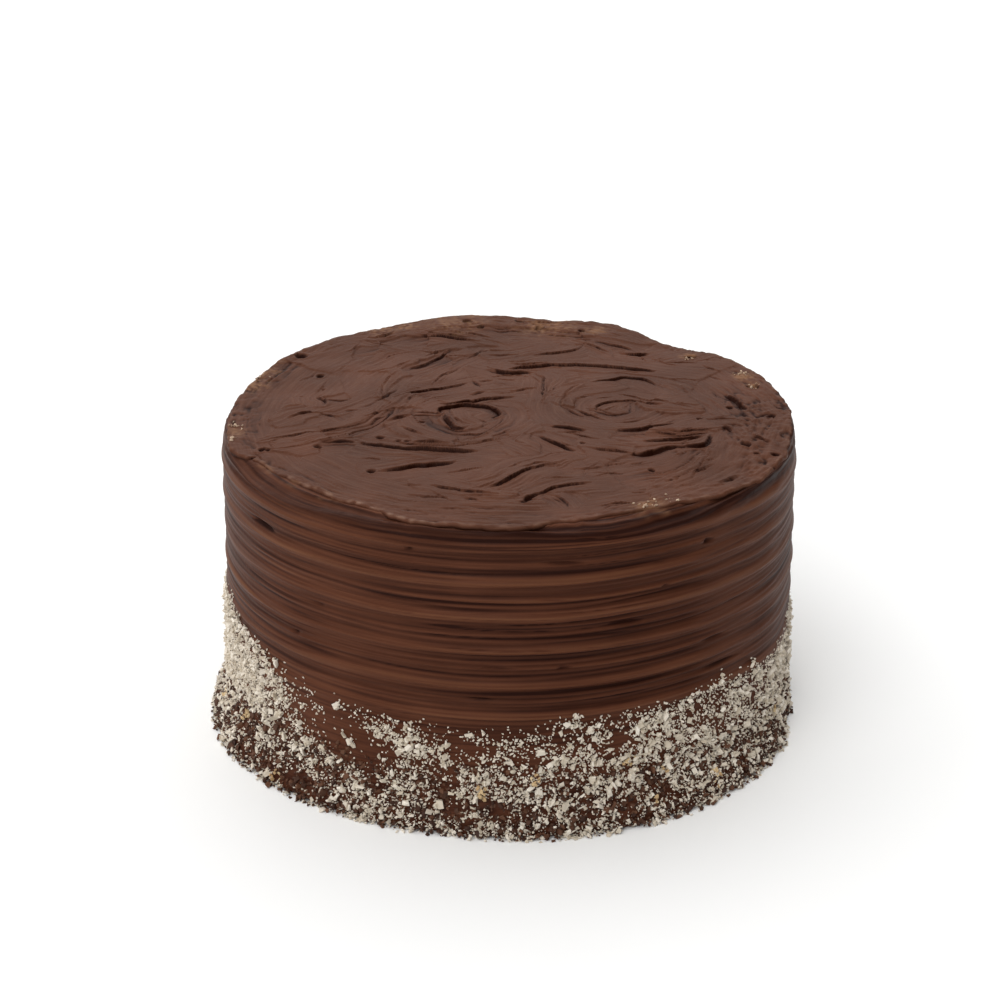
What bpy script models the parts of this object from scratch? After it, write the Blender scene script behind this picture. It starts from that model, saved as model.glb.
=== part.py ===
"""A round chocolate layer cake, 20 cm across and 11 cm tall, iced all over and uncut.

The icing on top is worked into swirls with a palette knife. Round the side it is combed into
level ridges, and coconut flakes cling to its lower side and foot. The cake is one solid.
Metres, +Z up, origin at the centre of the base. Angles round the cake are counted in degrees
from the front, -Y, and grow towards +X.
"""

import math
import random

import bmesh
import bpy
import numpy as np
from mathutils import Matrix, Vector, noise

MM = 0.001

# Driving dimensions of the iced cake
CAKE_RADIUS = 100 * MM
CAKE_HEIGHT = 108.5 * MM
SOFT_BASE_EDGE = 1 * MM

# The rim, by angle: radius and rise of the top's edge, and depth of the shoulder below it
RIM = [(0, 97.8, 0, 4), (10, 94.2, 0, 5), (22, 92.4, -0.3, 6), (34, 94.2, -0.4, 6.5), (46, 96.3, -1.2, 7.5),
       (58, 98.5, -2.2, 8), (90, 98.5, -1, 8), (108, 98.5, 0.6, 5), (126, 98, 0.6, 5),
       (139, 95, -2.6, 6), (156, 98, 0.8, 4), (173, 96, 0, 5), (191, 97.5, 2.4, 5),
       (212, 98, 1.6, 4), (226, 98, 1.6, 5), (238, 98, 1, 5), (262, 97.5, -1, 5), (288, 97.8, -0.9, 7),
       (301, 91.2, -0.8, 8), (318, 90.5, -0.6, 8), (331, 92, -0.4, 7.5), (345, 97.6, -0.1, 5)]
RIM_BLEND = (0.72, 1.0)
CALM_EDGE = (0.95, 1.0)
CALM_SHARE = 0.6

# By angle, how far the crumb-covered foot spreads past the wall, and how much wider the wall
# grows from the rim down to its base
FOOT = [(0, 4.8, 1.6), (20, 5.7, 1.8), (45, 5.2, 2.1), (62, 3.6, 2.3), (76, 1.2, 2.4), (90, 0.8, 2.4),
        (115, 1.9, 2.2), (150, 3.3, 1.9), (185, 3.7, 1.8), (225, 4.1, 1.9), (270, 4.2, 2.0),
        (286, 6.5, 2.0), (297, 7.4, 2.0), (312, 6.3, 1.9), (328, 5.2, 1.8), (345, 4.2, 1.6)]
FOOT_HEIGHT = 16 * MM

# The comb leaves one broad and one thin ridge at each step down the side.
# Height above the broad ridge's crest and how far the icing stands out there, in millimetres
COMB_PITCH = 12 * MM
COMB_CREST_Z = 90 * MM
COMB_OUTLINE = [(-9, 0.05), (-8.2, 0.1), (-7.4, 0.55), (-4.5, 0.15), (-1.6, 0.15),
                (0, 1.0), (3, 0.05)]
COMB_SPAN = (30 * MM, 105 * MM)
COMB_FADE = 6 * MM
COMB_TILT = 3 * MM
COMB_TILT_ANGLE = 25
COMB_TILT_MEAN = 0.9

# Height that the coconut reaches, by angle
COCONUT_EDGE = [(0, 39), (20, 41), (45, 43), (60, 40), (90, 48), (130, 42), (175, 46), (220, 40),
                (270, 52), (285, 52), (300, 46), (315, 40), (335, 35)]

# Pulls of the knife on top: start, end, bow to the left, half width and depth, in millimetres
STROKES = [
    ((-8, 42), (6, 43), 0, 3.2, 2.2),
    ((4, 46), (54, 41), 2.5, 2.0, 1.5),
    ((-50, -27), (-11, -38), -1, 2.2, 2.2),
    ((-42, -52), (-17, -46), 1, 2.4, 2.2),
    ((-63, -27), (-53, -26), 0, 2.2, 1.6),
    ((15, -15), (27, -19), 0, 2.4, 2.0),
    ((42, -39), (70, -27), -2.5, 2.4, 2.2),
    ((46, -28), (74, -17), -3, 2.2, 1.8),
    ((40, -17), (57, -9), 0, 1.8, 1.0),
    ((10, -23), (21, -34), 1, 1.8, 1.2),
    ((-6, -66), (20, -44), 3, 1.8, 1.4),
    ((4, -78), (26, -62), 1.5, 2.2, 2.0),
    ((-25, -67), (0, -73), -1, 1.9, 1.4),
    ((-38, 43), (-22, 63), 1.5, 2.2, 1.6),
    ((-47, 48), (-36, 61), 1, 1.8, 1.2),
    ((-36, 77), (-10, 71), 0.5, 2.2, 1.7),
    ((-40, 14), (-14, 28), 1.5, 1.8, 1.2),
    ((-13, 11), (3, 16), 0.5, 1.8, 1.3),
    ((-42, -10), (-25, -4), 1.5, 2.0, 1.4),
    ((8, 60), (30, 67), 0, 1.8, 1.2),
    ((30, 72), (47, 64), 0, 2.0, 1.4),
    ((-77, -5), (-59, -6), 3.5, 1.8, 1.2),
    ((70, -60), (82, -46), 0, 2.0, 1.6),
    ((78, 16), (85, 2), 1, 2.2, 1.6),
]

# Swirls of the knife: centre, first and last radius, first angle, turns, half width and depth
SWIRLS = [
    ((-13, -4), 8, 19, 290, -1.25, 2.0, 1.9),
    ((38, 4), 6, 30, 200, -2.1, 1.9, 1.3),
    ((45, -28), 34, 26, 20, -0.3, 2.2, 1.2),
    ((-86, 12), 36, 48, 290, 0.33, 2.4, 0.8),
]

# What the knife does to the icing: it cuts a furrow and pushes up a lip on its left.
# Shares of the depth, then the lip's place and width in half widths
FURROW_SHARE = 0.75
LIP_SHARE = 0.55
LIP_PLACE = 1.7
LIP_WIDTH = 0.9
MARK_REACH = 4
MARK_TAPER = 6
MARK_END = 0.25

# Gentle unevenness: size across and height
LOW_SWELL = (38 * MM, 0.9 * MM)
SHORT_SWELL = (13 * MM, 0.35 * MM)
WALL_SWELL = (30 * MM, 0.5 * MM)
CRUMB_BUMPS = (6 * MM, 0.6 * MM)
CRUMB_SPAN = (26 * MM, 38 * MM)

# The largest coconut flakes
FLAKE_COUNT = 115
FLAKE_LENGTH = (3.0 * MM, 4.8 * MM)
FLAKE_WIDTH_SHARE = 0.72
FLAKE_THICK_SHARE = 0.5
FLAKE_JITTER = 0.08
FLAKE_LOWEST = 2.4 * MM
FLAKE_CLEARANCE = 0.3 * MM
FLAKE_SEED = 7
GOLDEN_RATIO = (1 + math.sqrt(5)) / 2

# Fineness of the mesh
TURN_STEPS = 128
TOP_RINGS = 40
SHOULDER_ROWS = 4
FOOT_STEP = 4 * MM
BODY_TRIANGLES = 7350
WELD = 0.01 * MM
SMOOTH_ANGLE = math.radians(50)

ICING_COLOUR = (0.075, 0.034, 0.022, 1)
ICING_ROUGHNESS = 0.38


def smooth_step(low, high, value):
    share = np.clip((value - low) / (high - low), 0, 1)
    return share * share * (3 - 2 * share)


def front_angle(x, y):
    """Degrees round the cake from the front, from 0 up to 360."""
    return np.degrees(np.arctan2(x, -y)) % 360


def around(table, column, angle):
    """One column of a table in millimetres, read smoothly all the way round the cake."""
    degrees = np.array([row[0] for row in table] + [360], float)
    values = np.array([row[column] for row in table] + [table[0][column]]) * MM
    place = np.clip(np.searchsorted(degrees, angle, side="right") - 1, 0, len(table) - 1)
    share = smooth_step(degrees[place], degrees[place + 1], angle)
    return values[place] * (1 - share) + values[place + 1] * share


def swell(points, size, height):
    """Gentle unevenness of a size and a height, at each of the points."""
    return np.array([noise.noise(Vector(point) / size) for point in points]) * height


def comb_tilt(angle):
    """How much higher the comb ran at an angle than on average."""
    return COMB_TILT * (np.cos(np.radians(angle + COMB_TILT_ANGLE)) - COMB_TILT_MEAN)


def comb_relief(level):
    """How far the combed icing stands out at a level, counted along the comb's own ridges."""
    heights = np.array([row[0] for row in COMB_OUTLINE]) * MM
    reliefs = np.array([row[1] for row in COMB_OUTLINE]) * MM
    phase = (level - COMB_CREST_Z - heights[0]) % COMB_PITCH + heights[0]
    low, high = COMB_SPAN
    combed = smooth_step(low - COMB_FADE, low, level) * (1 - smooth_step(high - COMB_FADE, high, level))
    return np.interp(phase, heights, reliefs) * combed


def wall_radius(x, y, z, level):
    """Radius of the iced wall at places whose level on the comb is given."""
    angle = front_angle(x, y)
    foot = around(FOOT, 1, angle) * (1 - smooth_step(0, FOOT_HEIGHT, z))
    spread = around(FOOT, 2, angle) * (1 - z / CAKE_HEIGHT)
    places = np.stack([x, y, z], axis=-1)
    crumbly = (1 - smooth_step(*CRUMB_SPAN, z)) * smooth_step(0, FOOT_STEP, z)
    bumps = swell(places, *CRUMB_BUMPS) * crumbly + swell(places, *WALL_SWELL)
    return CAKE_RADIUS + foot + spread + bumps + comb_relief(level)


def stroke_path(start, end, bow, count=9):
    """Points along a stroke that bows sideways, to its left where bow is positive."""
    start, end = np.array(start) * MM, np.array(end) * MM
    along = end - start
    left = np.array([-along[1], along[0]]) / np.linalg.norm(along)
    share = np.linspace(0, 1, count)
    rise = 4 * share * (1 - share) * bow * MM
    return start + share[:, None] * along + rise[:, None] * left


def swirl_path(centre, first, last, angle, turns, count=40):
    """Points along a swirl that widens or narrows evenly round its centre."""
    share = np.linspace(0, 1, count)
    radius = (first + (last - first) * share) * MM
    turned = np.radians(angle) + 2 * np.pi * turns * share
    ring = np.stack([np.cos(turned), np.sin(turned)], axis=1)
    return np.array(centre) * MM + radius[:, None] * ring


def knife_mark(xy, path, half_width, depth):
    """Height that a pull of the knife along a path adds at each place."""
    height = np.zeros(len(xy))
    reach = MARK_REACH * half_width
    near = np.all((xy > path.min(0) - reach) & (xy < path.max(0) + reach), axis=1)
    run = path[1:] - path[:-1]
    offset = xy[near][:, None] - path[None, :-1]
    share = np.clip((offset * run).sum(2) / (run ** 2).sum(1), 0, 1)
    away = offset - share[..., None] * run
    distance = np.linalg.norm(away, axis=2)
    closest = distance.argmin(1)
    rows = np.arange(len(closest))
    gap = distance[rows, closest] / half_width
    run, away = run[closest], away[rows, closest]
    on_left = run[:, 0] * away[:, 1] > run[:, 1] * away[:, 0]
    travelled = (closest + share[rows, closest]) / (len(path) - 1)
    taper = MARK_END + (1 - MARK_END) * np.clip(np.minimum(travelled, 1 - travelled) * MARK_TAPER, 0, 1)
    beyond = (travelled <= 0) | (travelled >= 1)
    taper = taper * np.where(beyond, np.exp(-gap ** 2), 1)
    furrow = np.exp(-gap ** 2)
    lip = np.exp(-((gap - LIP_PLACE) / LIP_WIDTH) ** 2) * on_left
    height[near] = depth * taper * (LIP_SHARE * lip - FURROW_SHARE * furrow)
    return height


def top_relief(xy):
    """Height of the worked icing above the mean top, at each place."""
    flat = [(x, y, 0) for x, y in xy]
    height = swell(flat, *LOW_SWELL) + swell(flat, *SHORT_SWELL)
    for start, end, bow, half_width, depth in STROKES:
        height += knife_mark(xy, stroke_path(start, end, bow), half_width * MM, depth * MM)
    for centre, first, last, angle, turns, half_width, depth in SWIRLS:
        path = swirl_path(centre, first, last, angle, turns)
        height += knife_mark(xy, path, half_width * MM, depth * MM)
    return height


def comb_rows():
    """Levels down the side where the comb's outline bends."""
    low, high = COMB_SPAN
    turns = range(-2, round(CAKE_HEIGHT / COMB_PITCH))
    levels = [COMB_CREST_Z - turn * COMB_PITCH + row[0] * MM for turn in turns for row in COMB_OUTLINE[1:]]
    return sorted((level for level in levels if low < level < high), reverse=True)


def half_outline():
    """Radius and height down a cut through the cake, from the middle of the top to its base."""
    low, high = COMB_SPAN
    top = [(CAKE_RADIUS * ring / TOP_RINGS, CAKE_HEIGHT) for ring in range(TOP_RINGS + 1)]
    drop = (CAKE_HEIGHT - high) / SHOULDER_ROWS
    shoulder = [(CAKE_RADIUS, CAKE_HEIGHT - drop * row) for row in range(1, SHOULDER_ROWS + 1)]
    combed = [(CAKE_RADIUS, level) for level in comb_rows()]
    foot_rows = round((low - SOFT_BASE_EDGE) / FOOT_STEP)
    foot = [(CAKE_RADIUS, low - FOOT_STEP * row) for row in range(foot_rows)]
    base = [(CAKE_RADIUS, SOFT_BASE_EDGE), (CAKE_RADIUS - SOFT_BASE_EDGE, 0), (0, 0)]
    return top + shoulder + combed + foot + base


def apply(target, modifier):
    bpy.context.view_layer.objects.active = target
    bpy.ops.object.modifier_apply(modifier=modifier.name)


def turned_drum(home):
    """The plain drum: its outline turned round the middle."""
    mesh = bpy.data.meshes.new("cake")
    corners = [(radius, 0, height) for radius, height in half_outline()]
    mesh.from_pydata(corners, [(i, i + 1) for i in range(len(corners) - 1)], [])
    cake = bpy.data.objects.new("cake", mesh)
    home.objects.link(cake)
    turned = cake.modifiers.new("turned", "SCREW")
    turned.steps = turned.render_steps = TURN_STEPS
    turned.use_merge_vertices = True
    turned.merge_threshold = WELD
    apply(cake, turned)
    return cake


def work_top(points):
    """Swirls the top and gives the rim its own outline and height."""
    radius = np.hypot(points[:, 0], points[:, 1])
    angle = front_angle(points[:, 0], points[:, 1])
    outward = radius / CAKE_RADIUS
    points[:, :2] *= (around(RIM, 1, angle) / CAKE_RADIUS)[:, None]
    calm = 1 - CALM_SHARE * smooth_step(*CALM_EDGE, outward)
    rise = around(RIM, 2, angle) * smooth_step(*RIM_BLEND, outward)
    points[:, 2] += top_relief(points[:, :2]) * calm + rise
    return points


def work_side(points):
    """Rounds the shoulder, combs the wall and roughens the foot."""
    x, y, level = points.T
    angle = front_angle(x, y)
    low, high = COMB_SPAN
    tilted = smooth_step(0, low, level) * (1 - smooth_step(high - COMB_PITCH, CAKE_HEIGHT, level))
    z = level + comb_tilt(angle) * tilted
    wall = wall_radius(x, y, z, level)
    edge = around(RIM, 1, angle)
    below_edge = np.clip((CAKE_HEIGHT - level) / around(RIM, 3, angle), 0, 1)
    rounding = np.sqrt(1 - (1 - below_edge) ** 2)
    radius = edge + (wall - edge) * rounding
    z = z + around(RIM, 2, angle) * smooth_step(high - COMB_PITCH, CAKE_HEIGHT, level)
    turn = np.arctan2(y, x)
    return np.stack([radius * np.cos(turn), radius * np.sin(turn), z], axis=1)


def work_icing(cake):
    """Moves the drum's points into the swirled top and the combed side."""
    points = np.array([vertex.co for vertex in cake.data.vertices])
    radius = np.hypot(points[:, 0], points[:, 1])
    on_top = points[:, 2] > CAKE_HEIGHT - WELD
    on_side = ~on_top & (radius > CAKE_RADIUS - WELD)
    points[on_top] = work_top(points[on_top])
    points[on_side] = work_side(points[on_side])
    cake.data.vertices.foreach_set("co", points.ravel())
    cake.data.update()


def thin_out(cake):
    """Keeps the triangles where the icing bends, and leaves few where it is plain."""
    triangles = sum(len(face.vertices) - 2 for face in cake.data.polygons)
    fewer = cake.modifiers.new("fewer", "DECIMATE")
    fewer.ratio = BODY_TRIANGLES / triangles
    fewer.use_collapse_triangulate = True
    apply(cake, fewer)
    for vertex in cake.data.vertices:
        if vertex.co.z < SOFT_BASE_EDGE / 2:
            vertex.co.z = 0


def one_flake(dice, angle, height, length):
    """A flat chip, half sunk in the icing and turned any way in the plane of the wall."""
    shape = bmesh.new()
    bmesh.ops.create_icosphere(shape, subdivisions=1, radius=0.5)
    for vertex in shape.verts:
        vertex.co += Vector([dice.uniform(-FLAKE_JITTER, FLAKE_JITTER) for _ in vertex.co])
    turn = math.radians(angle)
    x, y = CAKE_RADIUS * math.sin(turn), -CAKE_RADIUS * math.cos(turn)
    level = height - comb_tilt(angle)
    radius = wall_radius(*np.array([[x], [y], [height], [level]]))[0]
    size = (length, length * FLAKE_WIDTH_SHARE, length * FLAKE_THICK_SHARE, 1)
    spin = Matrix.Rotation(dice.uniform(0, math.tau), 4, "Z")
    face_out = Matrix.Rotation(math.radians(90), 4, "X")
    place = Matrix.Rotation(turn, 4, "Z") @ Matrix.Translation((0, -radius, height))
    shape.transform(place @ face_out @ spin @ Matrix.Diagonal(size))
    lowest = min(vertex.co.z for vertex in shape.verts)
    lift = max(FLAKE_CLEARANCE - lowest, 0)
    shape.transform(Matrix.Translation((0, 0, lift)))
    mesh = bpy.data.meshes.new("flake")
    shape.to_mesh(mesh)
    shape.free()
    return bpy.data.objects.new("flake", mesh)


def coconut_flakes():
    """The largest flakes, spread evenly over the lower side by the golden ratio."""
    dice = random.Random(FLAKE_SEED)
    flakes = bpy.data.collections.new("coconut_flakes")
    bpy.context.scene.collection.children.link(flakes)
    for index in range(FLAKE_COUNT):
        angle = 360 * (index * GOLDEN_RATIO % 1)
        reach = around(COCONUT_EDGE, 1, np.array([angle]))[0] - FLAKE_LOWEST
        height = FLAKE_LOWEST + reach * (index + 0.5) / FLAKE_COUNT
        length = dice.uniform(*FLAKE_LENGTH)
        flakes.objects.link(one_flake(dice, angle, height, length))
    return flakes


def fuse(cake, flakes):
    """Joins the flakes to the icing and clears them away."""
    joined = cake.modifiers.new("joined", "BOOLEAN")
    joined.operation = "UNION"
    joined.solver = "MANIFOLD"
    joined.operand_type = "COLLECTION"
    joined.collection = flakes
    apply(cake, joined)
    for flake in list(flakes.objects):
        bpy.data.objects.remove(flake)
    bpy.data.collections.remove(flakes)


def chocolate_icing():
    material = bpy.data.materials.new("chocolate_icing")
    material.use_nodes = True
    shader = material.node_tree.nodes["Principled BSDF"]
    shader.inputs["Base Color"].default_value = ICING_COLOUR
    shader.inputs["Roughness"].default_value = ICING_ROUGHNESS
    shader.inputs["Metallic"].default_value = 0
    return material


def main():
    for old in list(bpy.data.objects):
        bpy.data.objects.remove(old)
    home = bpy.data.collections.new("layer_cake")
    bpy.context.scene.collection.children.link(home)
    cake = turned_drum(home)
    work_icing(cake)
    thin_out(cake)
    fuse(cake, coconut_flakes())
    cake.data.materials.clear()
    cake.data.materials.append(chocolate_icing())
    cake.data.shade_smooth()
    cake.data.set_sharp_from_angle(angle=SMOOTH_ANGLE)


main()
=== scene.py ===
"""The looks of a round chocolate layer cake.

Icing worked with a palette knife on top and combed round the side, and coconut on the lower
side and the foot. Metres, +Z up, origin at the centre of the base. Angles round the cake are
counted in degrees from the front, -Y, and grow towards +X.
"""
import math

import bpy
import numpy as np
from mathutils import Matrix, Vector, noise
from mathutils.kdtree import KDTree


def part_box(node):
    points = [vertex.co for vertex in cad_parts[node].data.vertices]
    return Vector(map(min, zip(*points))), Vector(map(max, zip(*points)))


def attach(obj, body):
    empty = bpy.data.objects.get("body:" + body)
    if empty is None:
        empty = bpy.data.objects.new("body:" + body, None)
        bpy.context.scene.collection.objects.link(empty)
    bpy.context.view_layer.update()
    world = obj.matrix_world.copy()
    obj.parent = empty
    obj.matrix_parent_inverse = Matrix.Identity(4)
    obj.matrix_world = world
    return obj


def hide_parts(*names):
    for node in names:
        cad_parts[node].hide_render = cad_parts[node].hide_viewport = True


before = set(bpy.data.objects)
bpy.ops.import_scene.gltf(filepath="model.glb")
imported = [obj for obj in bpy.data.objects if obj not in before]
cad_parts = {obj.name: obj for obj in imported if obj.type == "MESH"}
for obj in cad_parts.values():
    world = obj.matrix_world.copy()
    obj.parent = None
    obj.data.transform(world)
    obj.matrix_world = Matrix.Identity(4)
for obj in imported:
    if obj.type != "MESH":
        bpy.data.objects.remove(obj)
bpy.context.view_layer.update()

MM = 0.001

# The iced cake, as in the solid
CAKE_RADIUS = 100 * MM
CAKE_HEIGHT = 108.5 * MM
cake_low, cake_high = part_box("cake")
INSIDE = 0.1 * MM
CEILING = cake_high.z - INSIDE

# How finely the top is drawn, and the share of its triangles that is kept
TOP_CELLS = 420
TOP_KEPT = 0.54
# Share of the grid's half width at which the top's edge begins to roll over, and how far it rolls
PLATE_SHARE = 0.98
EDGE_ROLL = 0.7 * MM
EDGE_DROP = 1.3 * MM
# Where the painted highlight along the ragged edge lies, and how wide it is, as shares of the half width
EDGE_HIGHLIGHT_SHARE = 0.978
EDGE_HIGHLIGHT_WIDTH = 0.01
# Angle at which the painted highlight is lightest, and how far round it fades
EDGE_HIGHLIGHT_ANGLE = 326
EDGE_HIGHLIGHT_SPREAD = 22
# The same for the stretch where the top rolls softly over into the side, where the edge gets no painted
# shadow under it
SOFT_EDGE_ANGLE = 72
SOFT_EDGE_SPREAD = 45
# Upright part of the surface's direction, from a cut's wall to plain icing: the steeper walls get painted
# shade
CUT_WALL = (0.62, 0.92)
# Depths between which a cut turns dark with painted shade
CUT_SHADE = (0.2 * MM, 0.65 * MM)

# How finely the side is drawn, round the cake and up it
SIDE_COLUMNS = 336
SIDE_ROWS = 288
# Shares of the rows where the wall ends and where the shoulder ends
WALL_SHARE = 0.885
SHOULDER_SHARE = 0.975
# Heights over which the shoulder, under the top's edge, turns darker than the wall: painted shade
SHOULDER_SHADE = (CAKE_HEIGHT - 9 * MM, CAKE_HEIGHT - 5 * MM)
# How far below the worked top the shoulder meets it
UNDER_PLATE = 0.7 * MM
# How far the hidden edges of the top and the side go down into the cake, and how far in
HIDDEN_DROP = 6 * MM
HIDDEN_INSET = 5 * MM
# The rounding of the wall's lower edge
BASE_EDGE_HEIGHT = 1.5 * MM
BASE_EDGE_INSET = 1.2 * MM

# The rim, by angle: radius and rise of the top's edge, and depth of the shoulder below it
RIM = [(0, 97.8, 0, 4), (10, 94.2, 0, 5), (22, 92.4, -0.3, 6), (34, 94.2, -0.4, 6.5), (46, 96.3, -1.2, 7.5),
       (58, 98.5, -2.2, 8), (90, 98.5, -1, 8), (108, 98.5, 0, 5), (126, 98, -0.2, 5),
       (139, 95, -1.9, 6), (156, 98, 0.8, 4), (173, 96, 0.7, 5), (191, 97.5, 2.0, 5),
       (212, 98, 1.4, 4), (226, 98, 1.5, 5), (238, 98, 1, 5), (262, 97.5, -1, 5), (288, 97.8, -0.9, 7),
       (301, 91.2, -0.8, 8), (318, 90.5, -0.6, 8), (331, 92, -0.4, 7.5), (345, 97.6, -0.1, 5)]
# By angle, how far the crumb-covered foot spreads past the wall, and how much wider the wall
# grows from the rim down to its base
FOOT = [(0, 4.5, 1.6), (20, 5.4, 1.8), (45, 4.9, 2.1), (62, 3.2, 2.2), (76, 0.4, 1.6), (90, 0.1, 1.4),
        (115, 1.3, 2.2), (150, 2.7, 1.9), (185, 3.1, 1.8), (225, 3.5, 1.9), (270, 3.9, 2.0),
        (286, 6.2, 2.0), (297, 7.1, 2.0), (312, 6.0, 1.9), (328, 4.9, 1.8), (345, 3.9, 1.6)]
FOOT_HEIGHT = 16 * MM
# Heights over which the crumbly foot gives way to smooth icing, in its shape and in its colour,
# which is darker there, partly the crumb's own colour and partly painted shade among the flakes,
# and over which its last bumps fade
CRUMBLY_SHAPE = (14 * MM, 30 * MM)
CRUMBLY_COLOUR_AND_SHADE = (12 * MM, 26 * MM)
LAST_BUMPS = (30 * MM, 42 * MM)

# By angle, how much lower the comb ran than at the front, then, in thousandths, how hard it was
# pressed and how sharp its fine lines are
COMB_RUN = [(0, 0, 1250, 1150), (20, -0.1, 1400, 900), (33, -0.4, 1180, 550), (44, -1.5, 600, 420),
            (58, -3.2, 760, 550), (68, -4.6, 700, 700), (90, -5.2, 450, 700), (135, -4, 600, 800),
            (180, -3, 800, 900), (225, -3, 700, 900), (270, -4.2, 420, 900), (292, -3.6, 580, 1300),
            (312, -2.0, 680, 1500), (326, -1.1, 520, 800), (338, -0.6, 740, 1050), (349, -0.2, 960, 1200)]
COMB_PITCH = 12 * MM
COMB_CREST_Z = 90 * MM
COMB_DEPTH = 1.15
# Heights over which the comb's marks begin above the coconut, and end under the top
COMB_START = (32 * MM, 44 * MM)
COMB_END = (107 * MM, 110 * MM)
# Height above a broad ridge's crest and how far the icing stands out there, in millimetres
COMB_OUTLINE = [(-8.6, 0.02), (-7.4, 0), (-6.7, 0.12), (-6.0, 0.45), (-5.2, 0.25), (-4.2, 0.12),
                (-2.2, 0.06), (-1.2, 0.35), (-0.4, 0.9), (0.2, 1.0), (1.2, 0.75), (2.4, 0.35),
                (3.4, 0.02)]

# Nicks in the combed icing: angle, height, half length, half height and depth, in millimetres
NICKS = [(-54, 91.5, 5.5, 1.1, 1.9), (40, 94.5, 1.3, 1.0, 1.6), (22, 73, 6, 0.7, 0.9),
         (10, 96.5, 7, 0.6, 0.8), (10, 60, 1.8, 0.8, 1.2), (42, 58.5, 6, 0.6, 0.9),
         (44, 48, 8, 0.6, 0.8), (-38, 72.5, 1.0, 0.8, 1.0), (-44, 59, 1.2, 0.7, 0.9),
         (-18, 100, 1.0, 0.7, 0.9), (30, 83.5, 1.0, 0.5, 0.9), (-5, 49, 5, 0.5, 0.7),
         (8, 84, 6, 0.5, 0.7), (-2, 60.5, 6, 0.5, 0.7), (120, 88, 5, 0.9, 1.4),
         (165, 70, 7, 0.7, 1.0), (205, 95, 2, 1.0, 1.4), (240, 62, 6, 0.7, 1.0)]

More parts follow.
